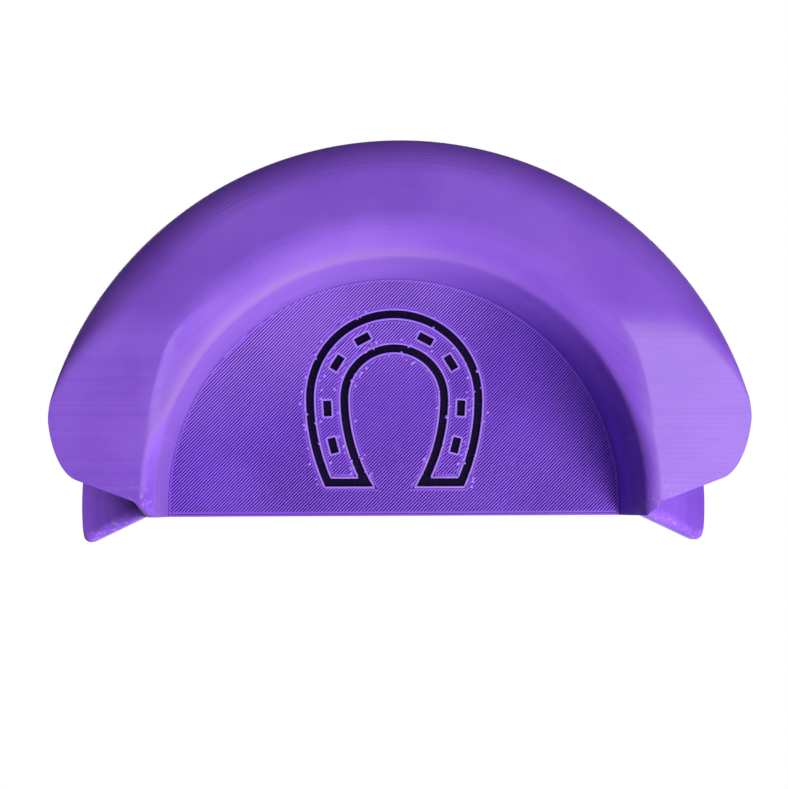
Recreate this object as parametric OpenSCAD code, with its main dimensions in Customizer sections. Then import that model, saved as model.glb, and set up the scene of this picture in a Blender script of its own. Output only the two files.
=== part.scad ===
// Half-round bridle rack for a wall. A half drum carries the headpiece of the bridle, a broad
// rounded lip in front keeps it on, and a flared foot spreads the load over a wall plate.
// A push-in face plate lies deep in the hollow and hides the two wall screws.
// Every module below is drawn in the wall's own view: x across, y up, z out from the wall.

/* [Rack] */
// Distance from the wall to the crest of the front lip
rack_depth = 48; // [42:0.5:60]
// Radius of the round hollow seen from the front
hollow_r = 38.8; // [34:0.1:44]
// Wall of the half drum that the headpiece hangs over
drum_wall = 3.2; // [2.8:0.1:5]
// How far the level underside lies below the axis of the arcs
underside_drop = 2; // [1:0.1:4]

/* [Front lip] */
// Radius of the lip at its rim
lip_r = 57; // [54:0.1:64]
// Broad rounding between the crest and the rim
lip_front_r = 8; // [6:0.1:10]
// Tight rounding of the rim itself
lip_rim_r = 1.3; // [1:0.1:3]
// Angle at which the broad rounding passes into the rim
lip_blend_angle = 40; // [25:1:55]
// Broad rounding between the rim and the lip's back face
lip_back_r = 10; // [3:0.1:14]
// Angle at which the rim passes into the rounding at its back
lip_back_blend_angle = 140; // [105:1:150]
// Broad rounding between the crest and the lip's inner edge
lip_inner_round = 8.5; // [5:0.1:10]
// Tight rounding of the inner edge itself
lip_edge_r = 2.2; // [1:0.1:3]
// Angle at which the broad rounding passes into the inner edge
lip_edge_blend_angle = 50; // [35:1:65]
// Draft of the lip's back face
lip_back_draft = 5.5; // [0:0.5:12]
// Height above the axis at which the flat end facets begin
facet_start_up = 27.7; // [24:0.1:32]
// Angle by which the end facets lean back towards the wall
facet_angle = 14.5; // [12:0.5:18]

/* [Saddle and foot] */
// Radius of the flared foot at the wall
flange_r = 53.6; // [50:0.1:60]
// Thickness of the foot at its outer edge
flange_edge = 2; // [1:0.1:4]
// Radius of the hollow flare between drum and foot
flare_r = 11.4; // [6:0.1:14]
// Lowest point of the two wings below the axis
wing_drop = 6.3; // [4.5:0.1:9]
// Rounding of the wing tips
wing_tip_r = 1.1; // [0.6:0.1:1.6]
// Wall left at the bevelled lower front corners of the drum
corner_wall = 0.4; // [0.4:0.1:2]
// Length of the tongue that enters the lip
tongue_len = 2.5; // [1.5:0.1:3]
// Thickness of the tongue
tongue_wall = 1.2; // [0.8:0.1:1.6]

/* [Wall plate] */
// Thickness of the wall plate
wall_plate_t = 5; // [4.5:0.1:8]
// Distance between the two wall screw holes
wall_hole_spacing = 38; // [30:0.5:44]
// Height of the wall screw holes above the axis
wall_hole_up = 14; // [10:0.5:20]
// Diameter of the wall screw holes
wall_hole_d = 4.5; // [3.5:0.1:5.5]
// Diameter of the countersinks for the wall screw heads
wall_sink_d = 9; // [7:0.1:11]

/* [Face plate] */
// Thickness of the face plate
face_t = 3; // [2:0.1:4]
// Gap round the face plate
face_gap = 0.3; // [0.2:0.05:0.5]
// Diameter of the pegs behind the face plate
peg_d = 4; // [3:0.1:5]
// Length of the pegs
peg_len = 3.5; // [2:0.1:3.8]
// Outer radius of the engraved horseshoe's toe
shoe_r = 14.5; // [10:0.1:15]
// Breadth of the horseshoe's web
shoe_web = 5.9; // [4:0.1:7]
// Length of the horseshoe's legs below the middle of its toe
shoe_leg = 14.5; // [8:0.1:15]
// Outer radius of the slow curve of the legs
shoe_leg_r = 36; // [28:0.5:60]
// Width of the engraved lines
groove_w = 1.3; // [0.6:0.1:1.6]
// Depth of the engraved lines
groove_depth = 0.8; // [0.4:0.1:1.2]
// Length of the engraved nail slots
nail_len = 2.6; // [1.5:0.1:3.2]

/* [Saddle screws] */
// Number of screws that hold the saddle to the wall plate
screw_count = 5; // [3:1:7]
// Angle of the first and last screw above the axis
screw_first_angle = 12; // [8:1:20]
// Diameter of the screw shanks
screw_d = 3; // [2.5:0.1:3.2]
// Diameter of the screw heads
screw_head_d = 5.6; // [4.6:0.1:6]
// Overall length of the screws
screw_len = 11; // [9:0.5:12]

/* [Hidden] */
$fn = 180;
// Steps in each arc of the lip's section
arc_steps = 16;
print_colour = "mediumpurple";
steel_colour = "silver";

// One overrun serves every cut
overrun = 1;
// Clearance of the tongue in its groove
glue_gap = 0.1;
// Clearance of pegs and screws in their holes
peg_gap = 0.05;
// Material kept over the tongue's groove where the facets thin the lip
tongue_cover = 1;
// How far the screw heads lie below the wall face
head_sink = 0.1;
// Width and depth of the cross recess in the screw heads
recess_w = 0.8;
recess_depth = 1;
// Where the wings leave the underside, outside the drum
wing_root_gap = 1;
// Steps round a wing tip, and the angle left before it meets the foot's edge
wing_tip_steps = 8;
wing_tip_stop = 20;
// How far the pegs stand in from the face plate's edge
peg_inset = 7;
peg_angles = [10, 90, 170];
// Nail slots as shares of the leg length above or below the middle of the toe
nail_leg_shares = [0.12, 0.56];
nail_toe_angles = [32, 62];

drum_r = hollow_r + drum_wall;
face_r = hollow_r - face_gap;

// The rim circle touches the broad roundings before and behind it
crest_out_r = lip_r - lip_rim_r - (lip_front_r - lip_rim_r) * sin(lip_blend_angle);
front_centre = [crest_out_r, rack_depth - lip_front_r];
rim_centre = front_centre + (lip_front_r - lip_rim_r) * [sin(lip_blend_angle), cos(lip_blend_angle)];
back_run = (lip_back_r - lip_rim_r) * [sin(lip_back_blend_angle), cos(lip_back_blend_angle)];
back_centre = rim_centre - back_run;
rim_back = back_centre + lip_back_r * [sin(lip_back_draft), -cos(lip_back_draft)];
seat_out = rim_back[1] - (rim_back[0] - drum_r) * tan(lip_back_draft);
lip_t = rack_depth - seat_out;
inner_room = crest_out_r - hollow_r - lip_edge_r;
inner_round = min(lip_inner_round, lip_edge_r + inner_room / sin(lip_edge_blend_angle));
inner_run = (inner_round - lip_edge_r) * [sin(lip_edge_blend_angle), -cos(lip_edge_blend_angle)];
edge_centre = [hollow_r + lip_edge_r, rack_depth - inner_round - inner_run[1]];
inner_centre = edge_centre + inner_run;
// The block that cuts the facets reaches past the whole lip
facet_reach = 4 * lip_r;
// Height at which the facets meet the seat of the lip
facet_end_up = facet_start_up - lip_t / tan(facet_angle);

// The tongue stops where the facets leave too little lip over it
tongue_in_r = (hollow_r + drum_r - tongue_wall) / 2;
tongue_out_r = tongue_in_r + tongue_wall;
tongue_room = lip_t - tongue_len - glue_gap - tongue_cover;
tongue_end_up = facet_start_up - tongue_room / tan(facet_angle);

flare_centre = [drum_r + flare_r, wall_plate_t + flange_edge + flare_r];

// Bevels that run from the lower ends of the lip's back to nothing at the root of the flare
bevel_run = drum_wall - corner_wall;
bevel_rise = max(0, facet_end_up + underside_drop);
bevel_turn = atan2(bevel_rise, bevel_run);
bevel_lean = atan(bevel_run * sin(bevel_turn) / (seat_out - flare_centre[1]));

// Lower edge of one wing: down a slope from its root, round its tip and out past the foot's edge
wing_root = [drum_r + wing_root_gap, -underside_drop];
wing_tip_up = wing_tip_r - wing_drop;
wing_tip = [sqrt(pow(flange_r - wing_tip_r, 2) - pow(wing_tip_up, 2)), wing_tip_up];
wing_tip_angle = atan2(wing_tip[1], wing_tip[0]);
wing_run = wing_tip - wing_root;
wing_slope = atan2(wing_run[1], wing_run[0]) - asin(wing_tip_r / norm(wing_run));
wing_arc = [
    for (i = [0 : wing_tip_steps])
        let (
            from = wing_slope - 90,
            to = wing_tip_angle - wing_tip_stop,
            angle = from + (to - from) * i / wing_tip_steps
        )
        wing_tip + wing_tip_r * [cos(angle), sin(angle)]
];
wing_way_out = (wing_tip_r + overrun) * [cos(wing_tip_angle), sin(wing_tip_angle)];
wing_edge = concat([wing_root], wing_arc, [wing_arc[wing_tip_steps] + wing_way_out]);
foot_reach = 2 * flange_r;

shoe_up = (face_r - underside_drop) / 2;
shoe_in_r = shoe_r - shoe_web;
shoe_mid_r = (shoe_r + shoe_in_r) / 2;
shoe_mid_leg_r = shoe_leg_r - shoe_web / 2;

screw_step = (180 - 2 * screw_first_angle) / (screw_count - 1);
screw_head_h = (screw_head_d - screw_d) / 2;
wall_sink_h = (wall_sink_d - wall_hole_d) / 2;

// Stands a shape drawn in the wall's view upright, with its z pointing out from the wall
module from_wall() {
    rotate([90, 0, 0])
        children();
}

// Everything above a level, as a flat region
module above(level, reach) {
    translate([-reach, level])
        square([2 * reach, 2 * reach]);
}

function mirrored(points) = [
    for (i = [len(points) - 1 : -1 : 0])
        [-points[i][0], points[i][1]]
];

// Everything above the underside and the lower edges of the wings
module above_underside() {
    polygon(concat(
        wing_edge,
        [[foot_reach, 0], [foot_reach, foot_reach], [-foot_reach, foot_reach], [-foot_reach, 0]],
        mirrored(wing_edge)
    ));
}

// Points on an arc round a centre, with angles counted from straight out towards the rim
function arc(centre, r, from, to) = [
    for (i = [0 : arc_steps])
        let (angle = from + (to - from) * i / arc_steps)
        centre + r * [sin(angle), cos(angle)]
];

module lip_section() {
    polygon(concat(
        [[hollow_r, seat_out], [drum_r, seat_out]],
        arc(back_centre, lip_back_r, 180 - lip_back_draft, lip_back_blend_angle),
        arc(rim_centre, lip_rim_r, lip_back_blend_angle, lip_blend_angle),
        arc(front_centre, lip_front_r, lip_blend_angle, 0),
        arc(inner_centre, inner_round, 0, -lip_edge_blend_angle),
        arc(edge_centre, lip_edge_r, -lip_edge_blend_angle, -90)
    ));
}

module saddle_section() {
    difference() {
        translate([hollow_r, wall_plate_t])
            square([flange_r - hollow_r, seat_out - wall_plate_t]);
        translate(flare_centre)
            circle(flare_r);
        translate([drum_r, flare_centre[1]])
            square([flange_r, rack_depth]);
        translate([flare_centre[0], wall_plate_t + flange_edge])
            square([flange_r, rack_depth]);
    }
}

// Everything in front of the leaning plane of the end facets
module before_facets() {
    translate([-facet_reach / 2, facet_start_up, rack_depth])
        rotate([facet_angle, 0, 0])
            translate([0, -facet_reach, 0])
                cube([facet_reach, facet_reach + lip_r, facet_reach]);
}

// What the bevel takes off the right lower front corner of the drum
module corner_bevel() {
    intersection() {
        translate([hollow_r, -underside_drop - overrun, flare_centre[1]])
            cube([drum_wall + overrun, bevel_rise + 2 * overrun, rack_depth]);
        translate([hollow_r + corner_wall, -underside_drop, seat_out])
            rotate(bevel_turn)
                rotate([-bevel_lean, 0, 0])
                    translate([-facet_reach / 2, -facet_reach, -facet_reach / 2])
                        cube(facet_reach);
    }
}

// Half ring for the tongue, or with a gap for the groove that takes it
module tongue_ring(gap) {
    intersection() {
        translate([0, 0, seat_out - gap])
            difference() {
                cylinder(h = tongue_len + 2 * gap, r = tongue_out_r + gap);
                cylinder(h = tongue_len + 2 * gap, r = tongue_in_r - gap);
            }
        linear_extrude(rack_depth)
            above(tongue_end_up - gap, drum_r + gap);
    }
}

// Places its children at each saddle screw, under the outer face of the drum
module at_screws() {
    for (i = [0 : screw_count - 1])
        rotate(screw_first_angle + i * screw_step)
            translate([drum_r, 0])
                children();
}

// Places its children at each peg of the face plate
module at_pegs() {
    for (angle = peg_angles)
        rotate(angle)
            translate([face_r - peg_inset, 0])
                children();
}

// Countersunk screw envelope from the wall side, with a gap all round for its hole
module screw_form(gap) {
    cylinder(h = screw_len + gap, d = screw_d + 2 * gap);
    cylinder(h = screw_head_h, r1 = screw_head_d / 2 + gap, r2 = screw_d / 2 + gap);
}

// Solid form of the horseshoe's outer or inner edge, grown by half a line width or shrunk by it
module shoe_form(toe_r, leg_r, heel_up) {
    intersection() {
        circle(toe_r);
        above(0, toe_r);
    }
    intersection() {
        translate([leg_r - toe_r, 0])
            circle(leg_r);
        translate([toe_r - leg_r, 0])
            circle(leg_r);
        translate([-toe_r, heel_up])
            square([2 * toe_r, -heel_up]);
    }
}

module shoe_band(grow) {
    difference() {
        shoe_form(shoe_r + grow, shoe_leg_r + grow, -shoe_leg - grow);
        shoe_form(shoe_in_r - grow, shoe_leg_r - shoe_web - grow, -shoe_leg - groove_w - overrun);
    }
}

module nail_slot() {
    square([groove_w, nail_len], center = true);
}

module horseshoe_lines() {
    difference() {
        shoe_band(groove_w / 2);
        shoe_band(-groove_w / 2);
    }
    for (side = [0, 1])
        mirror([side, 0]) {
            for (angle = nail_toe_angles)
                rotate(angle)
                    translate([shoe_mid_r, 0])
                        nail_slot();
            for (share = nail_leg_shares)
                translate([shoe_mid_r - shoe_mid_leg_r, 0])
                    rotate(-asin(share * shoe_leg / shoe_mid_leg_r))
                        translate([shoe_mid_leg_r, 0])
                            nail_slot();
        }
}

module wall_plate() {
    color(print_colour)
        from_wall()
            difference() {
                intersection() {
                    cylinder(h = wall_plate_t, r = flange_r);
                    linear_extrude(wall_plate_t)
                        above_underside();
                }
                for (side = [-1, 1])
                    translate([side * wall_hole_spacing / 2, wall_hole_up, 0]) {
                        translate([0, 0, -overrun])
                            cylinder(h = wall_plate_t + 2 * overrun, d = wall_hole_d);
                        translate([0, 0, wall_plate_t - wall_sink_h])
                            cylinder(h = wall_sink_h, d1 = wall_hole_d, d2 = wall_sink_d);
                    }
                at_pegs()
                    translate([0, 0, wall_plate_t - peg_len - glue_gap])
                        cylinder(h = peg_len + overrun, d = peg_d + 2 * peg_gap);
                at_screws() {
                    translate([0, 0, head_sink])
                        screw_form(peg_gap);
                    translate([0, 0, -overrun])
                        cylinder(h = overrun + head_sink, d = screw_head_d + 2 * peg_gap);
                }
            }
}

module saddle() {
    color(print_colour)
        from_wall()
            difference() {
                union() {
                    intersection() {
                        rotate_extrude()
                            saddle_section();
                        linear_extrude(rack_depth)
                            above_underside();
                    }
                    tongue_ring(0);
                }
                at_screws()
                    translate([0, 0, head_sink])
                        screw_form(peg_gap);
                before_facets();
                for (side = [0, 1])
                    mirror([side, 0, 0])
                        corner_bevel();
            }
}

module front_lip() {
    color(print_colour)
        from_wall()
            difference() {
                rotate_extrude()
                    lip_section();
                tongue_ring(glue_gap);
                before_facets();
            }
}

module face_plate() {
    color(print_colour)
        from_wall()
            difference() {
                union() {
                    translate([0, 0, wall_plate_t])
                        linear_extrude(face_t)
                            intersection() {
                                circle(face_r);
                                above(-underside_drop, face_r);
                            }
                    at_pegs()
                        translate([0, 0, wall_plate_t - peg_len])
                            cylinder(h = peg_len + face_t / 2, d = peg_d);
                }
                translate([0, shoe_up, wall_plate_t + face_t - groove_depth])
                    linear_extrude(groove_depth + overrun)
                        horseshoe_lines();
            }
}

module saddle_screws() {
    color(steel_colour)
        from_wall()
            at_screws()
                translate([0, 0, head_sink])
                    difference() {
                        screw_form(0);
                        for (turn = [0, 90])
                            rotate(turn)
                                translate([-screw_d / 2, -recess_w / 2, -overrun])
                                    cube([screw_d, recess_w, recess_depth + overrun]);
                    }
}

wall_plate();
saddle();
front_lip();
face_plate();
saddle_screws();
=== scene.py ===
"""Dresses the half-round bridle rack: purple printed skins, an engraved face plate and steel screws.

Shapes are drawn in the wall's view, in millimetres: x across, up, and out from the wall.
"""

import math

import bmesh
import bpy
import numpy as np
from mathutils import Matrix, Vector, noise


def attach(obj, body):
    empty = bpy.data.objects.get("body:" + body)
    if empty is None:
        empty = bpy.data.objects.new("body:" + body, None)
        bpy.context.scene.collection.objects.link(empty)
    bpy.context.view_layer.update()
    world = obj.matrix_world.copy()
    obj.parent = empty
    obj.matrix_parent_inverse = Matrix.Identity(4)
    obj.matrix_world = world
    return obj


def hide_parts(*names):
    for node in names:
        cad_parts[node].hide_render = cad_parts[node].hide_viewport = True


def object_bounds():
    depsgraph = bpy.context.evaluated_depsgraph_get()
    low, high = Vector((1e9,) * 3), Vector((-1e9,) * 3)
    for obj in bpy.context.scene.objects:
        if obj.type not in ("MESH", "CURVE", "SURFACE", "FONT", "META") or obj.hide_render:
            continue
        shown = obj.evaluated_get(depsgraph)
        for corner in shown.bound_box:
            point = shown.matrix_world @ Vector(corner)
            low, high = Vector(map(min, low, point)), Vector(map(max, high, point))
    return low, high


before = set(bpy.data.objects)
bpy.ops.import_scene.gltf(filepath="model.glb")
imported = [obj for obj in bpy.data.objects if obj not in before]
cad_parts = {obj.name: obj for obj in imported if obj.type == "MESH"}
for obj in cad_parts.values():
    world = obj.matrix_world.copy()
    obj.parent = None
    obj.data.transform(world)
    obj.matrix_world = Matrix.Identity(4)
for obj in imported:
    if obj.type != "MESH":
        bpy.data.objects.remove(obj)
cad_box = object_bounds()

MM = 0.001

# Rack
RACK_DEPTH = 48.0
HOLLOW_R = 38.8
DRUM_R = 42.0
UNDERSIDE = -2.0

# Front lip
LIP_R = 57.0
LIP_FRONT_R = 8.0
LIP_RIM_R = 1.3
LIP_BLEND_ANGLE = 40.0
LIP_BACK_R = 10.0
LIP_BACK_BLEND_ANGLE = 140.0
LIP_INNER_ROUND = 8.5
LIP_EDGE_R = 2.2
LIP_EDGE_BLEND_ANGLE = 50.0
LIP_BACK_DRAFT = 5.5
FACET_START = 27.7
FACET_ANGLE = 14.5
FACET_SOFTENING = 0.9
CORNER_R = 2.6
CORNER_WALL = 0.4
CORNER_COLUMNS = 8
CORNER_HALVINGS = 24
LIP_COLUMNS = 150
WELD = 0.0005

# Saddle and foot
WALL_PLATE_T = 5.0
FLANGE_R = 53.6
FLANGE_EDGE = 2.0
FLARE_R = 11.4
WING_DROP = 6.3
WING_TIP_R = 1.1
WING_ROOT_GAP = 1.0
WING_TIP_COLUMNS = 6
WING_EDGE_R = 2.4
WING_EDGE_SHARE = 0.85

# Face plate
FACE_R = HOLLOW_R - 0.06
FACE_OUT = 8.0
GROUND_INSET = 0.35
PEG_D = 4.0
PEG_LEN = 3.5
PEG_R = 31.5
PEG_ANGLES = (10.0, 90.0, 170.0)

# Engraved horseshoe
SHOE_R = 14.5
SHOE_WEB = 5.9
SHOE_LEG = 14.5
SHOE_LEG_R = 36.0
GROOVE_W = 1.3
GROOVE_DEPTH = 0.8
NAIL_LEN = 2.6
NAIL_CORNER_STEPS = 6
NAIL_LEG_SHARES = (0.12, 0.56)
NAIL_TOE_ANGLES = (32.0, 62.0)
SHOE_UP = 18.25
SHOE_IN_R = SHOE_R - SHOE_WEB
SHOE_IN_LEG_R = SHOE_LEG_R - SHOE_WEB
SHOE_MID_R = SHOE_R - SHOE_WEB / 2
SHOE_MID_LEG_R = SHOE_LEG_R - SHOE_WEB / 2

# Printed lines of the top skin
LAYER_H = 0.2
BEAD_W = 0.42
BEAD_H = 0.1
BEAD_SHARES = (-1.0, -0.62, 0.0, 0.62, 1.0)
BEAD_SLIM_SHARE = 0.7
BEAD_SQUEEZE_SHARE = 0.35
BEAD_LAP = 0.12
BEAD_STEP = 0.8
BEAD_SINK = 0.02
BOTTOM_BEADS = 2
GROOVE_BEADS = 2
NAIL_BEADS = 1
SKIN_EDGE = 0.12
SLANT_PERIOD = BEAD_W * math.sqrt(2)

# Runs of slanting lines: how finely they are cut off, their shortest length in cuts, and their sway
RUN_REACH = 1.5 * FACE_R
RUN_CUT = 0.04
RUN_MIN_CUTS = 6
SWAY = 0.02
SWAY_ALONG = 0.5
SWAY_ASIDE = 0.77
SWAY_PLACE = 1.9

# How far the slanting lines are squeezed flat, from slow patches and a fast tremble
FLAT_MIDDLE = 0.34
FLAT_PATCHES = 0.75
FLAT_PATCH_SCALE = 0.07
FLAT_PATCH_PLACE = (3.1, -1.7, 0.4)
FLAT_TREMBLE = 0.25
FLAT_TREMBLE_SCALE = 0.9
FLAT_TREMBLE_PLACE = 7.3

# Stray drops of filament beside the engraving
DROP_SEED = 11
DROP_COUNT = 140
DROP_WAY = (-0.1, 1.3)
DROP_R = (0.12, 0.34)
DROP_ANGLES = (0.0, 30.0, 60.0, 82.0)
DROP_SIDES = 10

# Finishes of the skin's lines, by their number in its list; the pale one carries painted highlight
SLANT, EDGE, PALE = 0, 1, 2

# The rack hangs this far above the floor, as on a wall
FLOOR_DROP = 460.0
FLOOR_HALF = 3000.0

# Soft lamps round the middle of the rack: degrees to the right, degrees up, watts
LAMP_MIDDLE = (0.0, 20.0, 30.0)
LAMP_REACH = 300.0
LAMP_SIZE = 170.0
LAMPS = {
    "front_light": (18.0, -20.0, 0.57),
    "right_light": (42.0, -44.0, 0.52),
    "side_light": (95.0, -54.0, 0.62),
    "near_light": (72.0, -4.0, 0.04),
    "top_light": (0.0, 20.0, 0.060),
    "rear_light_left": (-140.0, 25.0, 0.30),
    "rear_light_right": (140.0, 25.0, 0.30),
}

# Camera in front of the wall, with its turns in degrees
CAMERA_AT = (-12.2, -0.7, 408.0)
CAMERA_TURNS = (92.8, 0.25, -1.73)
CAMERA_LENS = 106.2
CAMERA_SENSOR_W = 36.0
CAMERA_CLIP = (0.01, 20.0)

# Meshes
SWEEP_STEPS = 320
END_CROWDING = 0.88
SWEEP_SHARES = [
    i / SWEEP_STEPS - END_CROWDING * math.sin(math.tau * i / SWEEP_STEPS) / math.tau
    for i in range(SWEEP_STEPS + 1)
]
ARC_STEPS = 40
SHARP_ANGLE = math.radians(32)


def at(x, up, out):
    """A point of the wall's view in the frame, in metres."""
    return (x * MM, -out * MM, up * MM)


class Wire:
    """A shader socket that can be used in sums."""

    def __init__(self, graph, socket):
        self.graph = graph
        self.socket = socket

    def math(self, operation, first, second=0.0):
        return self.graph.node("ShaderNodeMath", {"operation": operation}, {0: first, 1: second})

    def __add__(self, other):
        return self.math("ADD", self, other)

    def __radd__(self, other):
        return self.math("ADD", other, self)

    def __sub__(self, other):
        return self.math("SUBTRACT", self, other)

    def __rsub__(self, other):
        return self.math("SUBTRACT", other, self)

    def __mul__(self, other):
        return self.math("MULTIPLY", self, other)

    def __rmul__(self, other):
        return self.math("MULTIPLY", other, self)

    def __truediv__(self, other):
        return self.math("DIVIDE", self, other)

    def __rtruediv__(self, other):
        return self.math("DIVIDE", other, self)

    def cosine(self):
        return self.math("COSINE", self)

    def floor(self):
        return self.math("FLOOR", self)

    def absolute(self):
        return self.math("ABSOLUTE", self)

    def maximum(self, other):
        return self.math("MAXIMUM", self, other)


class Graph:
    """Adds nodes to the tree of a material or of the world."""

    def __init__(self, owner):
        owner.use_nodes = True
        self.tree = owner.node_tree
        self.tree.nodes.clear()

    def node(self, kind, settings=None, sockets=None, out=0):
        node = self.tree.nodes.new(kind)
        for name, value in (settings or {}).items():
            setattr(node, name, value)
        for name, value in (sockets or {}).items():
            if isinstance(value, Wire):
                self.tree.links.new(value.socket, node.inputs[name])
            else:
                node.inputs[name].default_value = value
        return Wire(self, node.outputs[out]) if node.outputs else node

    def mixed(self, share, first, second):
        sockets = {0: share, 6: first, 7: second}
        return self.node("ShaderNodeMix", {"data_type": "RGBA"}, sockets, 2)

    def ramped(self, value, low, high):
        """0 below low and 1 above high, with a soft step between."""
        settings = {"interpolation_type": "SMOOTHSTEP"}
        sockets = {"Value": value, "From Min": low, "From Max": high}
        return self.node("ShaderNodeMapRange", settings, sockets)

    def place(self):
        """The surface point in the piece's own millimetres."""
        metres = self.node("ShaderNodeTexCoord", out="Object")
        return self.node("ShaderNodeVectorMath", {"operation": "SCALE"}, {0: metres, "Scale": 1 / MM})

    def axes(self, vector):
        return [self.node("ShaderNodeSeparateXYZ", None, {0: vector}, axis) for axis in "XYZ"]

    def speckle(self, vector, scale, detail=2.0, roughness=0.5):
        sockets = {"Vector": vector, "Scale": scale, "Detail": detail, "Roughness": roughness}
        return self.node("ShaderNodeTexNoise", None, sockets)

    def stretched(self, vector, share):
        return self.node("ShaderNodeVectorMath", {"operation": "MULTIPLY"}, {0: vector, 1: share})

    def length(self, vector):
        return self.node("ShaderNodeVectorMath", {"operation": "LENGTH"}, {0: vector}, "Value")

    def bump(self, distance, height, normal=None):
        """A normal with relief, on top of another relief if there is one."""
        sockets = {"Strength": 1.0, "Distance": distance, "Height": height}
        if normal is not None:
            sockets["Normal"] = normal
        return self.node("ShaderNodeBump", None, sockets)

    def surface(self, sockets):
        shader = self.node("ShaderNodeBsdfPrincipled", None, sockets)
        self.node("ShaderNodeOutputMaterial", None, {"Surface": shader})


def new_finish(name):
    """An empty material, its graph and the surface point in it."""
    material = bpy.data.materials.new(name)
    graph = Graph(material)
    return material, graph, graph.place()


def waves(value, period):
    """Rises to 1 and falls to 0 once in each period of a shader value."""
    return 0.5 + 0.5 * (value * (math.tau / period)).cosine()


# Colours of the filament, painted shade for its gaps, painted sheen and highlights, the top skin with
# painted shade and highlight, and painted shade for the engraving
PURPLE = (0.226, 0.088, 0.625, 1)
PURPLE_DEEP = (0.190, 0.070, 0.560, 1)
PURPLE_PALE = (0.262, 0.111, 0.680, 1)
PURPLE_SHADE = (0.022, 0.007, 0.105, 1)
PURPLE_DUSK = (0.045, 0.016, 0.180, 1)
# Painted sheen for the lit inner edge, the hollow and the right facet
PURPLE_SHEEN = (0.268, 0.142, 0.505, 1)
PURPLE_WHITE = (0.46, 0.31, 0.84, 1)
SKIN_VALLEY_SHADE = (0.022, 0.007, 0.145, 1)
SKIN_CROWN_HIGHLIGHT = (0.345, 0.135, 0.920, 1)
SKIN_GLINT = (0.540, 0.260, 0.990, 1)
SKIN_RIM_HIGHLIGHT = (0.400, 0.215, 0.820, 1)
# Near-black painted shade for the engraving
NAVY = (0.004, 0.0015, 0.018, 1)
NAVY_PALE = (0.016, 0.006, 0.060, 1)
ZINC = (0.56, 0.57, 0.58, 1)
ZINC_DULL = (0.36, 0.36, 0.35, 1)

# Printed filament: tone from layers, streaks and clouds, roughness, and relief in metres
STREAK_STRETCH = (0.05, 1.6, 0.05)
CLOUD_SCALE = 0.09
GRAIN_SCALE = 5.5
GRAIN_CRISPNESS = 0.6
LAYER_TONE = 0.12
STREAK_TONE = 0.14
CLOUD_TONE = 0.74
PALE_TONES = (0.42, 0.78)
DEEP_TONES = (0.52, 0.22)
ROUGHNESS_DROP = 0.06
STREAK_ROUGHNESS = 0.07
GRAIN_ROUGHNESS = 0.06
PATCH_SCALE = 0.11
PATCH_RANGE = (0.38, 0.66)
PATCH_LEAST = 0.35
LAYER_SHIFT = 0.25
LAYER_BUMP = 5.0e-6
LIP_LAYER_BUMP = 1.5e-5
GRAIN_BUMP = 4.0e-6
SLANT_BUMP = 2.2e-5
SLANT_DEPTHS = (0.06, 0.02)
PRINT_ROUGHNESS = 0.42
EDGE_ROUGHNESS = 0.36
PRINT_SPECULAR = 0.12
LIP_SPECULAR = 0.07
SADDLE_SPECULAR = 0.012
FACET_GLOSS = 0.2
COAT_ROUGHNESS = 0.22

# Painted sheen where the light falls: a pale inner edge and hollow on the left, a pale facet on the right
SHEEN_LEFT = (26.0, -6.0)
RIDGE_R = 39.4
RIDGE_BROAD = 4.5
RIDGE_BROAD_SHARE = 0.45
RIDGE_NARROW = 1.2
RIDGE_OUT = (-42.0, -44.0)
RIDGE_CLOUDS = 0.3
HOLLOW_SHEEN = 0.5
HOLLOW_SKIN = (HOLLOW_R + 0.3, HOLLOW_R + 0.1)
FACET_SHEEN = 0.4
FACET_EDGE = 0.6
FACET_UNEVEN = 0.8
FACET_UNEVEN_SCALE = 0.5
FACET_UNEVEN_CRISPNESS = 0.6

# Crumbs of plastic: at the lower front corners, at the wing roots and along the wings' lower edges
CRUMB_SHARE = 0.5
CRUMB_SCALE = 1.15
CRUMB_CRISPNESS = 0.65
CRUMB_RANGE = (0.50, 0.68)
CRUMB_BUMP = 4.0e-5
CRUMB_UP = (5.0, UNDERSIDE)
CRUMB_OUT = (-26.0, -30.0)
CRUMB_ASIDE = (50.0, 41.5)
ROOT_START = (DRUM_R + 0.5, DRUM_R + 1.2)
ROOT_END = (49.0, 43.5)
WING_START = (DRUM_R, DRUM_R + 1.0)
WING_CRUMBS = (2.4, 0.96)

# Top skin: painted shade in the valleys and painted highlight on the crowns, contrast from smooth and open
# patches, and a painted glint on the crowns towards the upper left
SKIN_PATCH_SCALE = 0.075
SKIN_PATCH_RANGE = (0.36, 0.64)
SKIN_PATCH_LEAST = 0.6
SKIN_GRAIN = 0.3
SKIN_GRAIN_SCALE = 4.0
SKIN_GRAIN_BUMP = 8.0e-6
SKIN_ROUGHNESS = 0.44
CROWN_SMOOTHING = 0.10
SKIN_SPECULAR = 0.06
GLINT_LEAN = 0.35
GLINT_RANGE = (16.0, 38.0)

# Specks in gaps, in engraved lines and on the rim lines beside them
SPECK_SCALE = 2.4
SPECK_RANGE = (0.52, 0.72)
SPECK_BUMP = 2.0e-5
SPECK_ROUGHNESS = 0.45
SPECK_ROUGHNESS_SPREAD = 0.25
SPECK_SPECULAR = 0.05

# Zinc-plated steel
DULL_SCALE = 0.9
DULL_RANGE = (0.45, 0.7)
TURNING_STRETCH = (0.4, 9.0, 0.4)
TURNING_BUMP = 8.0e-6
ZINC_ROUGHNESS = 0.24
DULL_ROUGHNESS = 0.2
TURNING_ROUGHNESS = 0.08

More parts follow.
